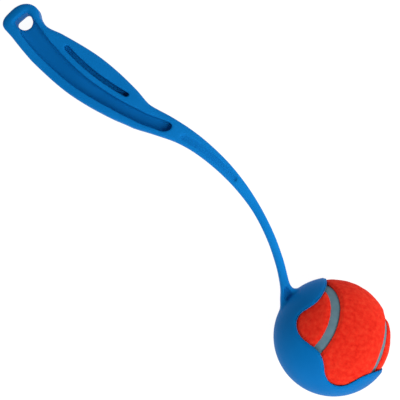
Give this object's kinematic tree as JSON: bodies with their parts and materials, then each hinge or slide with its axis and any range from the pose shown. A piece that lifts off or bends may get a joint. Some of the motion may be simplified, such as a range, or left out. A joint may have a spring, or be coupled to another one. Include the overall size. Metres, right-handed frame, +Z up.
{
  "type": "dog ball launcher",
  "caption": "Moulded plastic throwing stick with a bowed springy arm and a two-fingered cup that grips a felt-covered ball; the ball snaps out along the cup's mouth.",
  "frame": {"origin": "centre of the floor under the part as it lies on its side, resting on the ball and the handle's end", "axes": "+X from the handle's end towards the ball, +Y in the plane of the bow, towards the cup's mouth, +Z up"},
  "size_m": [0.2912, 0.0654, 0.0635],
  "materials": {
    "launcher_plastic": "satin blue moulded polypropylene",
    "core_rubber": "dark moulded rubber",
    "felt": "red-orange needled felt",
    "seam_rubber": "matt grey rubber"
  },
  "bodies": {
    "launcher": {"stick": "launcher_plastic", "cup": "launcher_plastic"},
    "ball": {"core_half_a": "core_rubber", "core_half_b": "core_rubber", "felt_panel_a": "felt", "felt_panel_b": "felt", "seam": "seam_rubber"}
  },
  "joints": [
    {"name": "ball_release", "type": "slide", "parent": "launcher", "child": "ball", "axis": [0.224, 0.9744, 0.0208], "range_m": [0, 0.12], "deforming": ["cup"]}
  ]
}
